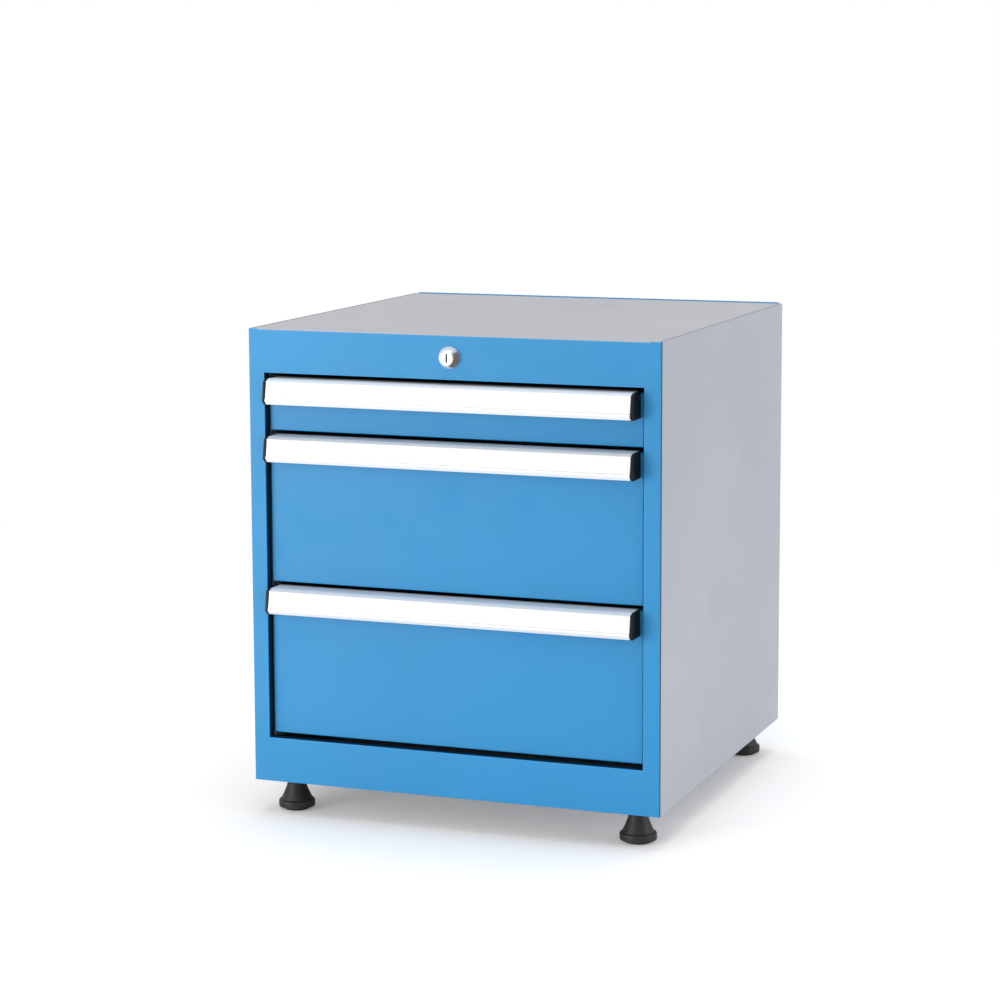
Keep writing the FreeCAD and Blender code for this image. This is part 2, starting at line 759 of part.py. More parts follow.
def lock_plug():
    body = new_body("lock_plug")
    face = "front_y - lock_proud + plug_recess"
    extrude(body, "core", "y", face, "front_y + plug_tail", [("0", "lock_z", "plug_diameter / 2")])
    extrude(body, "key_slot", "y", face, f"{face} + key_slot_depth",
            [mirrored_rectangle("key_slot_width / 2", "lock_z - key_slot_height / 2",
                                "lock_z + key_slot_height / 2")], cut=True)
    return body


def lock_rod():
    body = new_body("lock_rod")
    extrude(body, "rod", "y", "front_y + plug_tail", "crank_y", [("0", "lock_z", "rod_diameter / 2")])
    extrude(body, "crank", "y", "crank_y", "crank_y + crank_sheet",
            [("0", "lock_z", "crank_radius + crank_rim")])
    extrude(body, "pin", "y", "crank_y + crank_sheet", "bar_front_y + bar_sheet + pin_end",
            [("pin_x", "pin_z", "pin_diameter / 2")])
    return body


def lock_bar():
    body = new_body("lock_bar")
    left = "bar_x - bar_width / 2"
    right = "bar_x + bar_width / 2"
    rear = "bar_front_y + bar_sheet"
    slot_half = "crank_radius * (1 - sqrt(0.5)) / 2 + pin_diameter / 2 + pin_play"
    slot = rectangle(f"bar_x - ({slot_half})", f"bar_x + {slot_half}",
                     "pin_z - pin_diameter / 2 - pin_play", "pin_z + pin_diameter / 2 + pin_play")
    extrude(body, "bar", "y", "bar_front_y", rear,
            [rectangle(left, right, "arm_top_3 - bar_below_hook", "pin_z + bar_above_pin"), slot])
    lip_front = "box_back_y + catch_reach - catch_sheet"
    tooth_back = f"{lip_front} - catch_play"
    tooth_front = f"{tooth_back} - hook_sheet"
    for number in modules:
        extrude(body, f"arm_{number}", "z", f"arm_top_{number} - hook_sheet", f"arm_top_{number}",
                [rectangle(left, right, tooth_front, "bar_front_y")])
        extrude(body, f"tooth_{number}", "z", f"arm_top_{number}", f"tooth_top_{number}",
                [rectangle(left, right, tooth_front, tooth_back)])
    return body


def lock_bar_guides():
    """Two boxed guides on the back panel, with a slot that the bar slides in."""
    body = new_body("lock_bar_guides")
    front = "bar_front_y - seat_gap"
    rear = "bar_front_y + bar_sheet + seat_gap"
    half = "bar_width / 2 + seat_gap"
    outside = rectangle(f"bar_x - ({half}) - guide_sheet", f"bar_x + {half} + guide_sheet",
                        f"{front} - guide_sheet", "back_inner_y")
    way = rectangle(f"bar_x - ({half})", f"bar_x + {half}", front, rear)
    hollow = rectangle(f"bar_x - ({half})", f"bar_x + {half}", f"{rear} + guide_sheet",
                       "back_inner_y - guide_sheet")
    low = "arm_top_3 - guide_low"
    high = "tooth_top_1 + bar_lift + guide_high"
    extrude(body, "low_guide", "z", low, f"{low} + guide_height", [outside, way, hollow])
    extrude(body, "high_guide", "z", high, f"{high} + guide_height", [outside, way, hollow])
    return body


def lock_rod_bracket():
    body = new_body("lock_rod_bracket")
    front = "back_y - bracket_setback - bracket_sheet"
    half = "bracket_width / 2"
    extrude(body, "plate", "y", front, f"{front} + bracket_sheet",
            [mirrored_rectangle(half, "lock_z - bracket_drop", "top_under"),
             ("0", "lock_z", "rod_diameter / 2 + rod_gap")])
    extrude(body, "flange", "z", "top_under - bracket_sheet", "top_under",
            [mirrored_rectangle(half, front, f"{front} + bracket_flange")])
    return body


def lock_catch(number):
    """A bracket on the drawer's rear wall whose lip drops behind the bar's tooth."""
    body = new_body(f"lock_catch_{number}")
    left = "bar_x - bar_width / 2"
    right = "bar_x + bar_width / 2"
    top = "-catch_drop"
    under = "-catch_drop - catch_sheet"
    end = "box_back_y + catch_reach"
    extrude(body, "leg", "y", "box_back_y", "box_back_y + catch_sheet",
            [rectangle(left, right, f"{top} - catch_leg", top)])
    extrude(body, "plate", "z", under, top, [rectangle(left, right, "box_back_y", end)])
    extrude(body, "lip", "y", f"{end} - catch_sheet", end,
            [rectangle(left, right, f"{under} - catch_lip", top)])
    place_body(body, z=f"box_top_{number}")
    return body


# Feet
def foot(name, x, y):
    body = new_body(name)
    outline = [("0", "0"), ("foot_pad / 2", "0"), ("foot_pad / 2", "foot_pad_height"),
               ("foot_rim / 2", "foot_pad_height"), ("foot_rim / 2", "foot_rim_top"),
               ("foot_neck / 2", "foot_neck_start"), ("foot_neck / 2", "foot_top"), ("0", "foot_top")]
    revolve(body, "moulding", "XZ_Plane", "V_Axis", outline)
    place_body(body, x=x, y=y)
    return body


def foot_stud(name, x, y):
    body = new_body(name.replace("foot_", "foot_stud_"))
    extrude(body, "stud", "z", "foot_top", "stud_top", [("0", "0", "stud_diameter / 2")])
    place_body(body, x=x, y=y)
    return body


def foot_nuts():
    body = new_body("foot_nuts")
    for name, (x, y) in foot_places.items():
        extrude(body, name.replace("foot", "nut"), "z", "pan_under - nut_height", "pan_under",
                [hexagon(x, y, "nut_flats"), (x, y, "stud_diameter / 2 + nut_bore_gap")])
    return body


bodies = [front_frame(), top_panel(), back_panel()]
bodies += [upright(end, side, sign) for end in ("front", "rear") for side, sign in sides.items()]
welded = {"bottom_panel": bottom_panel()}
for side, sign in sides.items():
    welded[f"side_panel_{side}"] = side_panel(side, sign)
for number, module in modules.items():
    bodies += [runner_outer(number), runner_middle(number), runner_inner(number)]
    welded[f"drawer_box_{number}"] = drawer_box(number, module)
    bodies += [drawer_front(number, module), drawer_screws(number, module)]
    bodies += [handle(number), label_strip(number)]
    bodies += [handle_cap(number, side, sign) for side, sign in sides.items()]
    bodies += [lock_catch(number)]
bodies += [lock_housing(), lock_nut(), lock_plug(), lock_rod(), lock_bar(), lock_bar_guides()]
bodies += [lock_rod_bracket(), foot_nuts()]
for name, (x, y) in foot_places.items():
    bodies += [foot(name, x, y), foot_stud(name, x, y)]
doc.recompute()

# Nothing is written unless every feature is sound and every cut took something away
for item in doc.Objects:
    if "Invalid" in item.State or "Error" in item.State:
        raise RuntimeError(f"{item.Label} ({item.Name}) is in state {item.State}")
    if item.TypeId == "PartDesign::Pocket":
        if item.Shape.Volume > item.BaseFeature.Shape.Volume - 0.1:
            raise RuntimeError(f"{item.Label} cuts nothing")
shapes = {body.Label: body.Shape for body in bodies}
for label, sheets in welded.items():
    shapes[label] = Part.makeCompound([body.Shape for body in sheets])
for label, shape in shapes.items():
    if shape.isNull() or not shape.isValid():
        raise RuntimeError(f"{label} has no sound shape")

os.makedirs("parts", exist_ok=True)
for label, shape in shapes.items():
    shape.exportStep(f"parts/{label}.step")
print(f"{len(shapes)} parts written")
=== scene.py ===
import json
import math
import bmesh
import bpy
from mathutils import Matrix, Vector


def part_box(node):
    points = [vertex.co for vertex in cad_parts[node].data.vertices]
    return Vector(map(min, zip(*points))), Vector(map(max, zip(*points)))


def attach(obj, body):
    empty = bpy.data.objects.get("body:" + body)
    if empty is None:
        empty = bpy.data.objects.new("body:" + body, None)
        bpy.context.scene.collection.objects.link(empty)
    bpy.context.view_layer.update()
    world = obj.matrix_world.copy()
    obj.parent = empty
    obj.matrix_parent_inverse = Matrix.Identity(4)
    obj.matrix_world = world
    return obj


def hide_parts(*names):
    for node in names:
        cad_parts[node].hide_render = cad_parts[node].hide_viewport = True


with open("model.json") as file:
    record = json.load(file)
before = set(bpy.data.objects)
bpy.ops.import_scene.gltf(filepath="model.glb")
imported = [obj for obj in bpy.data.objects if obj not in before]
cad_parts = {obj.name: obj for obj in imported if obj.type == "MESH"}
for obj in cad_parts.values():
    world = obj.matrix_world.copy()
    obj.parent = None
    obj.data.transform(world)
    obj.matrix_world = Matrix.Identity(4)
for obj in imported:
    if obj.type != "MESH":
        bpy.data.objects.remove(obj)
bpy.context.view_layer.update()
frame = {"nodes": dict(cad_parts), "record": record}
nodes = frame["nodes"]
membersOf = frame["record"]["behaviour"]["bodies"]
bodyOfNode = {node: body for body, members in membersOf.items() for node in members}
slotOfNode = {part["node"]: part["material_slot"] for part in frame["record"]["subparts"]}


# Faces of the cabinet that masks and pieces are measured from

frameLow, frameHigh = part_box("front_frame")
faceY = frameLow.y
sideX = frameHigh.x
topZ = frameHigh.z
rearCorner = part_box("back_panel")[1]  # its right end, its rear face and its upper edge
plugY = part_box("lock_plug")[0].y
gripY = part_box("handle_1")[0].y


# Node trees, for materials and for Geometry Nodes alike

class Wire:  # one output socket, which can be added to, multiplied and so on
    def __init__(self, graph, socket):
        self.graph = graph
        self.socket = socket

    def __add__(self, other):
        return self.graph.calc("ADD", self, other)

    def __radd__(self, other):
        return self.graph.calc("ADD", other, self)

    def __sub__(self, other):
        return self.graph.calc("SUBTRACT", self, other)

    def __rsub__(self, other):
        return self.graph.calc("SUBTRACT", other, self)

    def __mul__(self, other):
        return self.graph.calc("MULTIPLY", self, other)

    def __rmul__(self, other):
        return self.graph.calc("MULTIPLY", other, self)

    def __truediv__(self, other):
        return self.graph.calc("DIVIDE", self, other)


class Graph:  # any node is added by its type, its settings, then its sockets
    def __init__(self, tree):
        self.tree = tree
        tree.nodes.clear()

    def add(self, kind, settings=None, sockets=None, out=0):
        node = self.tree.nodes.new(kind)
        for key, setting in (settings or {}).items():
            setattr(node, key, setting)
        for key, given in (sockets or {}).items():
            if isinstance(given, Wire):
                self.tree.links.new(given.socket, node.inputs[key])
            else:
                node.inputs[key].default_value = given
        return Wire(self, node.outputs[out]) if node.outputs else None

    def calc(self, operation, first, second=0.0):
        return self.add("ShaderNodeMath", {"operation": operation}, {0: first, 1: second})

    def vector(self, operation, sockets, out="Vector"):
        return self.add("ShaderNodeVectorMath", {"operation": operation}, sockets, out)

    def split(self, vector):  # its X, Y and Z
        parts = self.add("ShaderNodeSeparateXYZ", None, {0: vector}).socket.node
        return [Wire(self, socket) for socket in parts.outputs]


edgeFinder = {"samples": 4, "range": (0.995, 0.93)}  # cosines between the true and the rounded direction


class Paint(Graph):  # what the finishes of this cabinet have in common
    def __init__(self, name):
        self.material = bpy.data.materials.new(name)
        self.material.use_nodes = True
        super().__init__(self.material.node_tree)
        self.place = self.add("ShaderNodeTexCoord", out="Object")

    def axes(self):  # X, Y and Z of the piece as it lies at rest
        return self.split(self.place)

    def normal(self):
        return self.add("ShaderNodeNewGeometry", out="Normal")

    def facing(self, first, second):
        return self.vector("DOT_PRODUCT", {0: first, 1: second}, "Value")

    def spots(self, size, stretch=(1, 1, 1), detail=3.0, shift=(0, 0, 0)):
        moved = self.add("ShaderNodeMapping", None,
                         {"Vector": self.place, "Scale": stretch, "Location": shift})
        return self.add("ShaderNodeTexNoise", None, {"Vector": moved, "Scale": 1 / size, "Detail": detail})

    def ramp(self, value, low, high):  # 0 at low, 1 at high
        return self.add("ShaderNodeMapRange", {"interpolation_type": "SMOOTHSTEP"},
                        {"Value": value, "From Min": low, "From Max": high})

    def rampFrom(self, face, value, steps):  # the same, with both ends counted from a face
        return self.ramp(value, face + steps[0], face + steps[1])

    def patches(self, size, ends, detail=3.0, shift=(0, 0, 0)):  # spots with plain ground between them
        return self.ramp(self.spots(size, detail=detail, shift=shift), *ends)

    def edges(self, width):  # 1 on an edge, 0 a short way from it
        rounded = self.add("ShaderNodeBevel", {"samples": edgeFinder["samples"]}, {"Radius": width})
        return self.ramp(self.facing(rounded, self.normal()), *edgeFinder["range"])

    def blend(self, share, first, second):  # colours
        return self.add("ShaderNodeMix", {"data_type": "RGBA"}, {0: share, 6: first, 7: second}, out=2)

    def bump(self, height, depth, under=None):
        sockets = {"Height": height, "Distance": depth, "Strength": 1.0}
        if under:
            sockets["Normal"] = under
        return self.add("ShaderNodeBump", None, sockets)

    def cover(self, **sockets):
        named = {key.replace("_", " "): given for key, given in sockets.items()}
        shader = self.add("ShaderNodeBsdfPrincipled", None, named)
        self.add("ShaderNodeOutputMaterial", None, {"Surface": shader})
        return self.material


def tone(colour, factor):
    return [channel * factor for channel in colour[:3]] + [1]


# Finishes: sizes, widths and depths in metres, ranges as (where it starts, where it is full)

powder = {
    # edge: lighter edges of worn coat; on the blue, wide and strong, also a painted highlight along the
    # rounded edges
    "blue": {"colour": (0.013, 0.262, 0.565, 1), "roughness": 0.50,
             "edge": 1.6, "edgeShare": 0.85, "edgeWidth": 0.0022},
    "grey": {"colour": (0.430, 0.442, 0.485, 1), "roughness": 0.42,
             "edge": 1.2, "edgeShare": 0.40, "edgeWidth": 0.0009},
    "inside": {"colour": (0.430, 0.445, 0.470, 1), "roughness": 0.45,
               "edge": 1.15, "edgeShare": 0.30, "edgeWidth": 0.0009},
    "cloudSize": 0.35, "cloudRange": (0.3, 0.7), "cloud": 0.035,
    "peelSize": 0.0021, "peelDepth": 0.000018,
    "grainSize": 0.0006, "grainRange": (0.35, 0.6), "grainDepth": 0.000006, "grainMatt": 0.06,
    "smudgeSize": 0.09, "smudgeRange": (0.5, 0.72), "smudgeMatt": 0.07,
    # dark: the share of the colour left under painted shade
    "evenWear": 0.5, "dark": 0.10, "refraction": 1.5,
}
shade = {  # the masks of what lies in the dark, counted from the cabinet's faces
    "behind": (0.0014, 0.0022), "below": (-0.0008, -0.0014), "wrap": (-0.0004, -0.0001), "wrapShare": 0.92,
    "seam": (-0.0007, -0.0009), "seamHigh": (-0.0070, -0.0050), "seamAhead": (-0.0020, -0.0030),
}


def shadeBehindFace(paint):  # painted shade on the returns and flanges behind the frame's face, and on its strips on the outer sides
    x, y, z = paint.axes()
    behind = paint.rampFrom(faceY, y, shade["behind"]) * paint.rampFrom(topZ, z, shade["below"])
    outside = paint.rampFrom(sideX, paint.calc("ABSOLUTE", x), shade["wrap"])
    return paint.calc("MAXIMUM", behind, outside * shade["wrapShare"])


def shadeInSeam(paint):  # painted shade on the inner side of a side panel, in the seam beside the top sheet
    x, y, z = paint.axes()
    high = paint.rampFrom(topZ, z, shade["seamHigh"]) * paint.rampFrom(rearCorner.y, y, shade["seamAhead"])
    return paint.rampFrom(sideX, paint.calc("ABSOLUTE", x), shade["seam"]) * high


def powderCoat(name, look, dark=None):
    paint = Paint(name)
    cloud = paint.spots(powder["cloudSize"], detail=2)
    peel = paint.spots(powder["peelSize"], detail=1)
    grain = paint.spots(powder["grainSize"], detail=2, shift=(3, 1, 2))
    smudge = paint.patches(powder["smudgeSize"], powder["smudgeRange"], detail=5, shift=(1, 2, 3))
    even = powder["evenWear"]
    # lighter edges: worn coat, and on the blue also a painted highlight
    worn = paint.edges(look["edgeWidth"]) * (even + (1 - even) * paint.ramp(grain, *powder["grainRange"]))
    darker = tone(look["colour"], 1 - powder["cloud"])
    lighter = tone(look["colour"], 1 + powder["cloud"])
    colour = paint.blend(paint.ramp(cloud, *powder["cloudRange"]), darker, lighter)
    colour = paint.blend(worn * look["edgeShare"], colour, tone(look["colour"], look["edge"]))
    # painted shade: where the mask is full, the coat darkens to a tenth of its colour
    if dark:
        colour = paint.blend(dark(paint), colour, tone(look["colour"], powder["dark"]))
    rough = look["roughness"] + powder["smudgeMatt"] * smudge + powder["grainMatt"] * (grain - 0.5)
    coarse = paint.bump(peel, powder["peelDepth"])
    fine = paint.bump(grain, powder["grainDepth"], under=coarse)
    return paint.cover(Base_Color=colour, Roughness=rough, Normal=fine, IOR=powder["refraction"])


steel = {
    "colour": (0.50, 0.52, 0.54, 1), "tint": (0.56, 0.54, 0.47, 1), "tintShare": 0.6, "roughness": 0.40,
    "cloudSize": 0.045, "cloudRange": (0.35, 0.75), "cloudMatt": 0.08,
    "streakSize": 0.0012, "streakStretch": (1, 0.04, 1), "streakDepth": 0.000004, "streakMatt": 0.10,
    "edge": 1.3, "edgeShare": 0.5, "edgeWidth": 0.0006,
}


def zincPlate(name):
    paint = Paint(name)
    cloud = paint.patches(steel["cloudSize"], steel["cloudRange"])
    streak = paint.spots(steel["streakSize"], stretch=steel["streakStretch"], detail=2)
    worn = paint.edges(steel["edgeWidth"])
    colour = paint.blend(cloud * steel["tintShare"], steel["colour"], steel["tint"])
    colour = paint.blend(worn * steel["edgeShare"], colour, tone(steel["colour"], steel["edge"]))
    rough = steel["roughness"] + steel["streakMatt"] * (streak - 0.5) + steel["cloudMatt"] * cloud
    return paint.cover(Base_Color=colour, Metallic=1.0, Roughness=rough,
                       Normal=paint.bump(streak, steel["streakDepth"]))


grip = {
    "colour": (0.93, 0.935, 0.94, 1), "metal": 0.20, "roughness": 0.45,
    "lineSize": 0.0007, "lineStretch": (0.012, 1, 1), "lineDepth": 0.000003,
    "lineMatt": 0.12, "lineShare": 0.5,
    "handledSize": 0.06, "handledRange": (0.5, 0.75), "handledMatt": 0.10,
    "handledShare": 0.25, "dull": 0.94,
    "edge": 1.05, "edgeShare": 0.5, "edgeWidth": 0.0005,
    # knee: how dark the painted shade line behind the knee is, and where it runs
    "knee": 0.62, "kneeStart": (0.00018, 0.00058), "kneeEnd": (0.00258, 0.00218), "kneeUp": (0.2, 0.4),
}


def kneeShadeLine(paint):  # a thin painted shade line on the upward slope just behind the knee
    y = paint.axes()[1]
    up = paint.facing(paint.normal(), (0, 0, 1))
    line = paint.rampFrom(gripY, y, grip["kneeStart"]) * paint.rampFrom(gripY, y, grip["kneeEnd"])
    return line * paint.ramp(up, *grip["kneeUp"])


def anodised(name):  # drawn along X, as the strip is extruded
    paint = Paint(name)
    line = paint.spots(grip["lineSize"], stretch=grip["lineStretch"])
    handled = paint.patches(grip["handledSize"], grip["handledRange"], detail=4)
    dull = grip["lineShare"] * line + grip["handledShare"] * handled
    colour = paint.blend(dull, grip["colour"], tone(grip["colour"], grip["dull"]))
    worn = paint.edges(grip["edgeWidth"]) * grip["edgeShare"]
    colour = paint.blend(worn, colour, tone(grip["colour"], grip["edge"]))
    # painted shade line behind the knee
    colour = paint.blend(kneeShadeLine(paint), colour, tone(grip["colour"], grip["knee"]))
    rough = grip["roughness"] + grip["lineMatt"] * (line - 0.5) + grip["handledMatt"] * handled
    return paint.cover(Base_Color=colour, Metallic=grip["metal"], Roughness=rough,
                       Normal=paint.bump(line, grip["lineDepth"]))


chromeLook = {
    "colour": (0.88, 0.87, 0.86, 1), "roughness": 0.16,
    "scratchSize": 0.0009, "scratchStretch": (1, 0.1, 1), "scratchDepth": 0.0000015, "scratchMatt": 0.05,
    "filmSize": 0.006, "filmRange": (0.45, 0.7), "film": 0.93, "filmShare": 0.4, "filmMatt": 0.04,
    "shade": (0.20, 0.15, 0.13, 1), "pit": (0.012, 0.012, 0.012, 1), "darkMatt": 0.3, "darkMetalLoss": 0.9,
    "slot": (0.0001, 0.0004), "away": (0.9, 0, -0.3), "awayRange": (0.36, 0.60),
}


def keyway(paint):  # painted shade: the inside of the slot for the key is darkened
    return paint.rampFrom(plugY, paint.axes()[1], chromeLook["slot"])


def coneShade(paint):  # the side of the cone that is turned from the light
    return paint.ramp(paint.facing(paint.normal(), chromeLook["away"]), *chromeLook["awayRange"])


def chrome(name, dark=None, shadeName="shade", metal=1.0):
    paint = Paint(name)
    scratch = paint.spots(chromeLook["scratchSize"], stretch=chromeLook["scratchStretch"], detail=4)
    film = paint.patches(chromeLook["filmSize"], chromeLook["filmRange"], detail=4)
    filmed = tone(chromeLook["colour"], chromeLook["film"])
    colour = paint.blend(film * chromeLook["filmShare"], chromeLook["colour"], filmed)
    rough = chromeLook["roughness"] + chromeLook["scratchMatt"] * scratch + chromeLook["filmMatt"] * film
    # painted shade where the mask is: a darker colour, duller and less metallic
    if dark:
        share = dark(paint)
        colour = paint.blend(share, colour, chromeLook[shadeName])
        rough = rough + chromeLook["darkMatt"] * share
        metal = metal - chromeLook["darkMetalLoss"] * metal * share
    return paint.cover(Base_Color=colour, Metallic=metal, Roughness=rough,
                       Normal=paint.bump(scratch, chromeLook["scratchDepth"]))


plastics = {
    "cap": {"colour": (0.006, 0.005, 0.004, 1), "roughness": 0.36, "shine": 0.25,
            "grainSize": 0.0005, "grainDepth": 0.00001},
    "foot": {"colour": (0.017, 0.014, 0.013, 1), "roughness": 0.46, "shine": 0.5,
             "grainSize": 0.0009, "grainDepth": 0.00002},
    "grainMatt": 0.12,
    "cloudSize": 0.02, "cloudRange": (0.4, 0.7), "cloud": 1.5, "cloudShare": 0.5, "cloudMatt": 0.08,
    "scuff": (0.10, 0.10, 0.10, 1), "scuffShare": 0.35, "scuffWidth": 0.0008,
    "scuffSize": 0.004, "scuffRange": (0.35, 0.65),
}


def moulded(name, look):
    paint = Paint(name)
    grain = paint.spots(look["grainSize"])
    cloud = paint.patches(plastics["cloudSize"], plastics["cloudRange"])
    rubbed = paint.patches(plastics["scuffSize"], plastics["scuffRange"], detail=4)
    scuffed = paint.edges(plastics["scuffWidth"]) * rubbed
    cloudy = tone(look["colour"], plastics["cloud"])
    colour = paint.blend(cloud * plastics["cloudShare"], look["colour"], cloudy)
    colour = paint.blend(scuffed * plastics["scuffShare"], colour, plastics["scuff"])
    rough = look["roughness"] + plastics["grainMatt"] * (grain - 0.5) + plastics["cloudMatt"] * cloud
    return paint.cover(Base_Color=colour, Roughness=rough, Normal=paint.bump(grain, look["grainDepth"]),
                       Specular_IOR_Level=look["shine"])


paperLook = {
    "colour": (0.90, 0.90, 0.895, 1), "roughness": 0.55, "dull": 0.96,
    "fibreSize": 0.0012, "fibreStretch": (0.3, 1, 1), "fibreDepth": 0.000012,
    "fibreShare": 0.35, "fibreMatt": 0.1,
    "cloudSize": 0.08, "cloudRange": (0.35, 0.75), "cloudShare": 0.3,
}


def paper(name):
    paint = Paint(name)
    fibre = paint.spots(paperLook["fibreSize"], stretch=paperLook["fibreStretch"], detail=5)
    cloud = paint.patches(paperLook["cloudSize"], paperLook["cloudRange"], detail=2)
    dull = paperLook["fibreShare"] * fibre + paperLook["cloudShare"] * cloud
    colour = paint.blend(dull, paperLook["colour"], tone(paperLook["colour"], paperLook["dull"]))
    rough = paperLook["roughness"] + paperLook["fibreMatt"] * (fibre - 0.5)
    return paint.cover(Base_Color=colour, Roughness=rough, Normal=paint.bump(fibre, paperLook["fibreDepth"]))


finishes = {
    "frame_blue": powderCoat("blue powder coat", powder["blue"]),
    "body_grey": powderCoat("grey powder coat", powder["grey"]),
    "drawer_grey": powderCoat("grey powder coat of the drawers", powder["inside"]),
    "zinc_steel": zincPlate("zinc-plated steel"),
    "grip_aluminium": anodised("satin anodised aluminium"),
    "cap_plastic": moulded("black cap plastic", plastics["cap"]),
    "label_paper": paper("white label paper"),
    "lock_chrome": chrome("bright chrome"),
    "foot_plastic": moulded("black foot plastic", plastics["foot"]),
}
# the side panels' coat with painted shade in the seam beside the top sheet
sidePaint = powderCoat("grey powder coat, dark inside", powder["grey"], shadeInSeam)
special = {  # pieces whose finish differs in places from their slot's by painted shade
    "front_frame": powderCoat("blue powder coat, dark behind", powder["blue"], shadeBehindFace),
    "side_panel_left": sidePaint,
    "side_panel_right": sidePaint,
    "lock_plug": chrome("bright chrome with keyway", keyway, "pit"),
    "lock_housing": chrome("bright chrome with shaded cone", coneShade, metal=0.3),
}
finishOf = {name: special.get(name, finishes[slotOfNode[name]]) for name in nodes}
for name, node in nodes.items():
    node.data.materials.clear()
    node.data.materials.append(finishOf[name])
print("finishes made:", len(finishes), "and", len(special), "pieces with their own")


# Pieces

def camel(words):
    first, *rest = words.split("_")
    return first + "".join(word.capitalize() for word in rest)


def newObject(name, data):
    thing = bpy.data.objects.new(name, data)
    bpy.context.scene.collection.objects.link(thing)
    return thing


def newPiece(node, mesh):
    piece = newObject(camel(node), mesh)
    mesh.name = piece.name
    mesh.materials.clear()
    mesh.materials.append(finishOf[node])
    return piece


def applyModifiers(piece):
    result = piece.evaluated_get(bpy.context.evaluated_depsgraph_get())
    mesh = bpy.data.meshes.new_from_object(result)
    piece.modifiers.clear()
    piece.data = mesh


def handOver(piece, node):  # a piece stands for one node and rides where that node rides
    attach(piece, bodyOfNode[node])
    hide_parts(node)


# Sheet metal, rails and small parts keep the frame's shape and get rounded edges

softening = {  # how far edges are rounded, in metres; the empty name is for all pieces that no other fits
    "": 0.0004, "side_panel": 0.00045, "back_panel": 0.0003, "bottom_panel": 0.0003, "drawer_box": 0.0003,
    "drawer_front": 0.0003, "handle": 0.0003, "handle_cap": 0.0009, "label_strip": 0.00012,
    "lock_plug": 0.00018, "lock_bar": 0.0005,
}
softSegments = 3
smoothBelow = math.radians(35)
flatBelow = math.radians(0.5)
mergeBelow = 0.000002
rim = {  # the frame's opening is bent softer than the rest; it is found by these limits
    "round": 0.0013, "nearFace": 0.0001, "halfWidth": 0.262, "bottom": 0.103, "top": 0.589,
}
widening = {  # what lies in this range on either side moves outwards by "by"
    "front_frame": {"range": (0.2580, 0.2620), "by": -0.0010},  # stiles, as far as the runners allow
    "drawer_front": {"range": (0.2485, 0.2520), "by": 0.0042},
    "top_panel": {"range": (0.2775, 0.2790), "by": -0.0015},  # leaves the seam beside the top sheet open
}
raising = {"fronts": ("drawer_front_1", "drawer_front_2"), "height": 0.0025, "by": 0.0027}
lip = {"end": 0.2750, "sheet": 0.0010}


def onRim(edge):
    return all(spot.co.y < faceY + rim["nearFace"] and abs(spot.co.x) < rim["halfWidth"]
               and rim["bottom"] < spot.co.z < rim["top"] for spot in edge.verts)


def shiftSides(shape, low, high, distance):
    for spot in shape.verts:
        if low < abs(spot.co.x) < high:
            spot.co.x += distance * math.copysign(1, spot.co.x)


def raiseBottom(shape, height, distance):  # the lowest edge, its bend and its return go up together
    lowest = min(spot.co.z for spot in shape.verts)
    for spot in shape.verts:
        if spot.co.z < lowest + height:
            spot.co.z += distance


def addLip(shape):  # the back sheet's upper edge runs on over the side panels
    across = lip["end"] - rearCorner.x
    high = rearCorner.z - topZ
    size = Matrix.Diagonal((across, lip["sheet"], high, 1))
    for sign in (-1, 1):
        x = sign * (rearCorner.x + across / 2)
        centre = Vector((x, rearCorner.y - lip["sheet"] / 2, topZ + high / 2))
        bmesh.ops.create_cube(shape, size=1, matrix=Matrix.Translation(centre) @ size)


def adjust(node, shape):  # places where the photo asks for a slightly other width or height
    for start, change in widening.items():
        if node.startswith(start):
            shiftSides(shape, *change["range"], change["by"])
    if node in raising["fronts"]:
        raiseBottom(shape, raising["height"], raising["by"])
    if node == "back_panel":
        addLip(shape)


def softCopy(node, width):
    mesh = nodes[node].data.copy()
    shape = bmesh.new()
    shape.from_mesh(mesh)
    bmesh.ops.remove_doubles(shape, verts=shape.verts, dist=mergeBelow)
    bmesh.ops.dissolve_limit(shape, angle_limit=flatBelow, verts=shape.verts, edges=shape.edges)
    adjust(node, shape)
    widest = max(width, rim["round"])
    weight = shape.edges.layers.float.new("bevel_weight_edge")
    for edge in shape.edges:
        if edge.is_manifold and edge.calc_face_angle() > smoothBelow:
            edge[weight] = 1 if node == "front_frame" and onRim(edge) else width / widest
    shape.to_mesh(mesh)
    shape.free()
    piece = newPiece(node, mesh)
    bevel = piece.modifiers.new("rounded", "BEVEL")
    bevel.width = widest
    bevel.segments = softSegments
    bevel.limit_method = "WEIGHT"
    bevel.harden_normals = True
    mesh.shade_smooth()
    mesh.set_sharp_from_angle(angle=smoothBelow)
    applyModifiers(piece)
    handOver(piece, node)


rebuiltNames = ("lock_housing", "foot_front", "foot_rear", "foot_stud", "drawer_screws")
softNodes = sorted(name for name in nodes if not name.startswith(rebuiltNames))
for name in softNodes:
    longest = max((key for key in softening if name.startswith(key)), key=len)
    softCopy(name, softening[longest])
print("edges rounded:", len(softNodes), "pieces")


# Turned pieces: each point of an outline is (radius, distance along the axis)

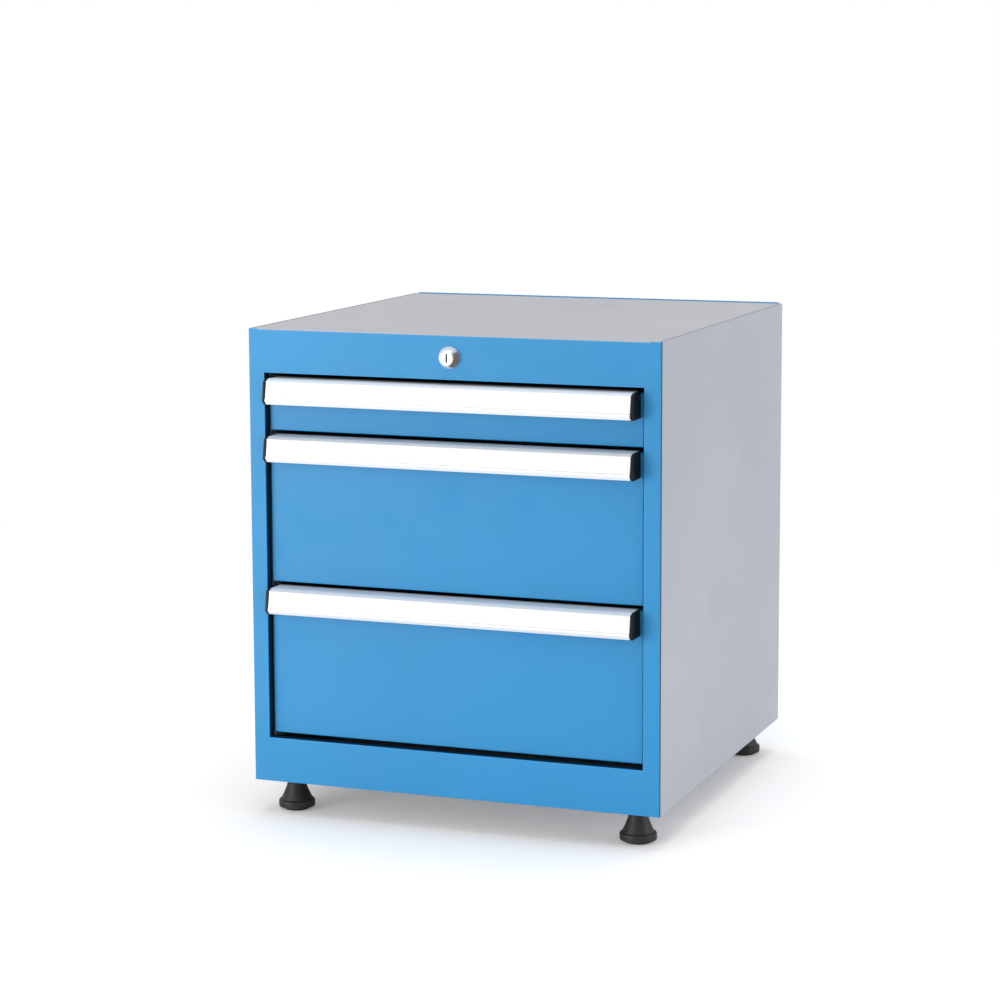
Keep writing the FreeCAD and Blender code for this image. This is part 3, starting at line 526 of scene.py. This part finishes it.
def lathe(node, outline, steps, along, centre):
    shape = bmesh.new()
    rings = []
    for radius, distance in outline:
        ring = []
        for i in range(steps if radius > 0 else 1):
            turn = 2 * math.pi * i / steps
            flat = (radius * math.cos(turn), radius * math.sin(turn))
            spot = (flat[0], flat[1], distance) if along == "z" else (flat[0], distance, flat[1])
            ring.append(shape.verts.new(Vector(spot) + centre))
        rings.append(ring)
    for lower, upper in zip(rings, rings[1:]):
        for i in range(steps):
            near = [lower[i % len(lower)], lower[(i + 1) % len(lower)]]
            far = [upper[(i + 1) % len(upper)], upper[i % len(upper)]]
            corners = list(dict.fromkeys(near + far))
            if len(corners) > 2:
                shape.faces.new(corners)
    bmesh.ops.recalc_face_normals(shape, faces=shape.faces)
    mesh = bpy.data.meshes.new(node)
    shape.to_mesh(mesh)
    shape.free()
    mesh.shade_smooth()
    mesh.set_sharp_from_angle(angle=smoothBelow)
    piece = newPiece(node, mesh)
    piece.modifiers.new("flat faces stay flat", "WEIGHTED_NORMAL").keep_sharp = True
    applyModifiers(piece)
    return piece


def arc(centre, radius, start, end, count):  # points of a rounded corner, in degrees
    turns = [math.radians(start + (end - start) * i / count) for i in range(count + 1)]
    return [(centre[0] + radius * math.cos(turn), centre[1] + radius * math.sin(turn)) for turn in turns]


footLook = {
    "pad": 0.0165, "padHeight": 0.0019, "waist": 0.0155, "rim": 0.0240, "rimLow": 0.0033, "rimTop": 0.0135,
    "lowRound": 0.0014, "topRound": 0.0030, "shoulder": 0.0210, "neck": 0.01125, "neckStart": 0.0400,
    "top": 0.0520, "edge": 0.0008, "flare": 1.35, "rings": 20, "steps": 80,
}


def footOutline(look):
    outline = [(0, 0), (look["pad"], 0), (look["pad"], look["padHeight"])]
    outline += [(look["waist"], look["padHeight"]), (look["waist"], look["rimLow"])]
    lower = (look["rim"] - look["lowRound"], look["rimLow"] + look["lowRound"])
    outline += arc(lower, look["lowRound"], -90, 0, 5)
    upper = (look["rim"] - look["topRound"], look["rimTop"] - look["topRound"])
    outline += arc(upper, look["topRound"], 0, 80, 7)
    for i in range(look["rings"] + 1):  # above a small step it narrows towards the neck
        share = i / look["rings"]
        radius = look["neck"] + (look["shoulder"] - look["neck"]) * (1 - share) ** look["flare"]
        outline.append((radius, look["rimTop"] + (look["neckStart"] - look["rimTop"]) * share))
    corner = (look["neck"] - look["edge"], look["top"] - look["edge"])
    return outline + arc(corner, look["edge"], 0, 90, 4) + [(0, look["top"])]


feet = sorted(name for name in nodes if name.startswith(("foot_front", "foot_rear")))
for name in feet:
    low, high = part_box(name)
    centre = Vector(((low.x + high.x) / 2, (low.y + high.y) / 2, low.z))
    handOver(lathe(name, footOutline(footLook), footLook["steps"], "z", centre), name)
print("feet turned:", len(feet))

lockLook = {
    "base": 0.0140, "rim": 0.0015, "rimRound": 0.0005, "face": 0.0098, "faceRound": 0.0008,
    "groove": (0.0088, 0.0085, 0.0081), "grooveDepth": 0.0004, "bore": 0.00735, "barrel": 0.0095,
    "steps": 72,
}


def lockOutline(look, front, back, face):  # from the barrel's rear end round to the bore
    slope = math.degrees(math.atan2(look["base"] - look["face"], front - look["rim"] - face))
    outline = [(look["bore"], back), (look["barrel"], back), (look["barrel"], front), (look["base"], front)]
    corner = (look["base"] - look["rimRound"], front - look["rim"] + look["rimRound"])
    outline += arc(corner, look["rimRound"], 0, -70, 4)
    nose = (look["face"] - look["faceRound"], face + look["faceRound"])
    outline += arc(nose, look["faceRound"], -slope, -90, 5)
    outer, middle, inner = look["groove"]
    outline += [(outer, face), (middle, face + look["grooveDepth"]), (inner, face)]
    return outline + [(look["bore"], face), (look["bore"], back)]


low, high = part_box("lock_housing")
lockCentre = Vector((0, 0, (low.z + high.z) / 2))
outline = lockOutline(lockLook, faceY, high.y, low.y)
handOver(lathe("lock_housing", outline, lockLook["steps"], "y", lockCentre), "lock_housing")
print("lock turned")


# Geometry Nodes: what repeats

def newTree(name, sizes):  # a tree with named inputs for its sizes
    tree = bpy.data.node_groups.new(name, "GeometryNodeTree")
    graph = Graph(tree)
    tree.interface.new_socket("Geometry", in_out="INPUT", socket_type="NodeSocketGeometry")
    tree.interface.new_socket("Geometry", in_out="OUTPUT", socket_type="NodeSocketGeometry")
    for title in sizes:
        tree.interface.new_socket(title, in_out="INPUT", socket_type="NodeSocketFloat")
    tree.interface.new_socket("Finish", in_out="INPUT", socket_type="NodeSocketMaterial")
    start = tree.nodes.new("NodeGroupInput")
    inputs = {socket.name: Wire(graph, socket) for socket in start.outputs if socket.name}
    return graph, inputs


def closeTree(graph, inputs, shape):  # a copy of the shape on each point, painted
    placed = graph.add("GeometryNodeInstanceOnPoints", None,
                       {"Points": inputs["Geometry"], "Instance": shape})
    real = graph.add("GeometryNodeRealizeInstances", None, {"Geometry": placed})
    painted = graph.add("GeometryNodeSetMaterial", None, {"Geometry": real, "Material": inputs["Finish"]})
    graph.add("NodeGroupOutput", None, {"Geometry": painted})


def grow(node, points, graph, sizes):  # the tree runs on a few points and becomes a plain mesh
    mesh = bpy.data.meshes.new(node)
    mesh.from_pydata(points, [], [])
    piece = newPiece(node, mesh)
    modifier = piece.modifiers.new(graph.tree.name, "NODES")
    modifier.node_group = graph.tree
    given = dict(sizes, Finish=finishOf[node])
    for item in graph.tree.interface.items_tree:
        if item.in_out == "INPUT" and item.name in given:
            modifier[item.identifier] = given[item.name]
    applyModifiers(piece)
    piece.data.shade_smooth()
    piece.data.set_sharp_from_angle(angle=smoothBelow)
    handOver(piece, node)


screwSizes = {
    "Flats": 0.0070, "Head": 0.0020, "Flange": 0.0044, "Flange Height": 0.0008,
    "Shank": 0.0020, "Length": 0.0080,
}
screwSides = {"flange": 32, "shank": 16, "crown": 24}
crownShare = {"radius": 0.42, "height": 0.12, "middle": 1.06}  # of the flats, then of the head's height


def screwTree():
    graph, sizes = newTree("hexScrews", screwSizes)

    def disc(sides, radius, depth, middle, turned=0.0):  # a short prism about Y
        body = graph.add("GeometryNodeMeshCylinder", None,
                         {"Vertices": sides, "Radius": radius, "Depth": depth}, out="Mesh")
        place = graph.add("ShaderNodeCombineXYZ", None, {1: middle})
        return graph.add("GeometryNodeTransform", None,
                         {"Geometry": body, "Translation": place, "Rotation": (math.pi / 2, turned, 0)})

    flange = sizes["Flange Height"]
    height = sizes["Head"]
    head = disc(6, sizes["Flats"] / math.sqrt(3), height, flange + height * 0.5, math.pi / 2)
    plate = disc(screwSides["flange"], sizes["Flange"], flange, flange * 0.5)
    shank = disc(screwSides["shank"], sizes["Shank"], sizes["Length"], sizes["Length"] * -0.5)
    crown = disc(screwSides["crown"], sizes["Flats"] * crownShare["radius"], height * crownShare["height"],
                 flange + height * crownShare["middle"])
    screw = graph.add("GeometryNodeJoinGeometry")
    for part in (head, plate, shank, crown):
        graph.tree.links.new(part.socket, screw.socket.node.inputs[0])
    closeTree(graph, sizes, screw)
    return graph


screws = screwTree()
insetX = screwSizes["Flats"] / 2
insetZ = screwSizes["Flats"] / math.sqrt(3)
for name in sorted(name for name in nodes if name.startswith("drawer_screws")):
    low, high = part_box(name)
    seat = low.y + screwSizes["Length"]
    columns = (low.x + insetX, high.x - insetX)
    rows = (low.z + insetZ, high.z - insetZ)
    grow(name, [(x, seat, z) for x in columns for z in rows], screws, screwSizes)
print("screws set")

studSizes = {"Radius": 0.0050, "Length": 0.0400, "Pitch": 0.0015, "Depth": 0.0006}
studRings = {"around": 24, "along": 214}


def studTree():  # a rod whose surface rises and falls along a helix
    graph, sizes = newTree("threadedStud", studSizes)
    rod = graph.add("GeometryNodeMeshCylinder", None,
                    {"Vertices": studRings["around"], "Side Segments": studRings["along"],
                     "Radius": sizes["Radius"], "Depth": sizes["Length"]}, out="Mesh")
    x, y, z = graph.split(graph.add("GeometryNodeInputPosition"))
    turn = graph.calc("ARCTAN2", y, x) / (2 * math.pi)
    phase = graph.calc("FRACT", z / sizes["Pitch"] - turn)
    ridge = graph.calc("ABSOLUTE", phase - 0.5) * 2
    narrow = ridge * sizes["Depth"] / sizes["Radius"]
    outwards = graph.add("ShaderNodeCombineXYZ", None, {0: x, 1: y})
    shift = graph.vector("SCALE", {0: outwards, "Scale": narrow * -1})
    closeTree(graph, sizes, graph.add("GeometryNodeSetPosition", None, {"Geometry": rod, "Offset": shift}))
    return graph


studs = studTree()
for name in sorted(name for name in nodes if name.startswith("foot_stud")):
    low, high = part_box(name)
    lengths = dict(studSizes, Length=high.z - low.z, Radius=(high.x - low.x) / 2)
    grow(name, [(low + high) / 2], studs, lengths)
print("studs threaded")


# Floor, light and camera

stageLook = {"size": 14.0, "colour": (0.93, 0.93, 0.93, 1), "clear": 0.9, "fade": 2.4, "lift": 0.21}
skyLook = {"colour": (1, 1, 1, 1), "fill": 0.68, "white": 1.0}
lamps = {
    "low": {"at": (-1.75, -2.45, 0.20), "to": (0, -0.27, 0.20), "size": (1.2, 0.34),
            "power": 17, "colour": (1, 1, 1)},
    "front": {"at": (-2.5, -4.0, 1.2), "to": (0, 0, 0.3), "size": (2.2, 2.2),
              "power": 50, "colour": (1, 1, 1)},
    "above": {"at": (0.2, 0.2, 3.6), "to": (0, 0.1, 0.5), "size": (2.6, 2.6),
              "power": 42, "colour": (1, 0.97, 0.95)},
    "right": {"at": (3.6, 0.2, 0.9), "to": (0, 0.1, 0.2), "size": (1.7, 1.7),
              "power": 29, "colour": (0.72, 0.87, 1)},
}
cameraLook = {
    "at": (1.315, -3.571, 0.998), "yaw": 20.71, "pitch": 8.01, "roll": -0.2, "lens": 101.8, "shiftY": -0.05,
}


def whiteRays(graph):  # 1 where floor or background is seen straight or through something clear
    path = graph.add("ShaderNodeLightPath").socket.node.outputs
    straight, through = [Wire(graph, path[title]) for title in ("Is Camera Ray", "Is Transmission Ray")]
    return graph.calc("MAXIMUM", straight, through)


def makeFloor(look):  # it fades to plain white far from the cabinet
    bpy.ops.mesh.primitive_plane_add(size=look["size"])
    floor = bpy.context.object
    floor.name = "floor"
    paint = Paint("pale floor")
    distance = paint.vector("LENGTH", {0: paint.place}, "Value")
    far = paint.ramp(distance, look["clear"], look["fade"])
    plain = paint.add("ShaderNodeBsdfDiffuse", None, {"Color": look["colour"]})
    white = paint.add("ShaderNodeEmission", None, {"Strength": 1.0})
    lift = paint.add("ShaderNodeEmission", None, {"Strength": look["lift"]})
    near = paint.add("ShaderNodeAddShader", None, {0: plain, 1: lift})
    seen = paint.add("ShaderNodeMixShader", None, {0: far, 1: near, 2: white})
    both = paint.add("ShaderNodeMixShader", None, {0: whiteRays(paint), 1: plain, 2: seen})
    paint.add("ShaderNodeOutputMaterial", None, {"Surface": both})
    floor.data.materials.append(paint.material)


def makeSky(look):
    world = bpy.data.worlds.new("pale room")
    bpy.context.scene.world = world
    world.use_nodes = True
    graph = Graph(world.node_tree)
    fill = graph.add("ShaderNodeBackground", None, {"Color": look["colour"], "Strength": look["fill"]})
    white = graph.add("ShaderNodeBackground", None, {"Color": look["colour"], "Strength": look["white"]})
    both = graph.add("ShaderNodeMixShader", None, {0: whiteRays(graph), 1: fill, 2: white})
    graph.add("ShaderNodeOutputWorld", None, {"Surface": both})


def makeLamp(name, look):
    light = bpy.data.lights.new(name, "AREA")
    light.shape = "RECTANGLE"
    light.size, light.size_y = look["size"]
    light.energy = look["power"]
    light.color = look["colour"]
    lamp = newObject(name, light)
    lamp.location = look["at"]
    lamp.rotation_euler = (Vector(look["to"]) - lamp.location).to_track_quat("-Z", "Y").to_euler()


def turned(degrees, axis):
    return Matrix.Rotation(math.radians(degrees), 4, axis)


def makeCamera(look):
    optics = bpy.data.cameras.new("camera")
    optics.lens = look["lens"]
    optics.shift_y = look["shiftY"]
    camera = newObject("camera", optics)
    aim = turned(look["yaw"], "Z") @ turned(90 - look["pitch"], "X") @ turned(look["roll"], "Z")
    camera.matrix_world = Matrix.Translation(look["at"]) @ aim
    bpy.context.scene.camera = camera


makeFloor(stageLook)
makeSky(skyLook)
for name, look in lamps.items():
    makeLamp(name, look)
makeCamera(cameraLook)
bpy.context.scene.view_settings.view_transform = "Standard"
print("floor, light and camera set")
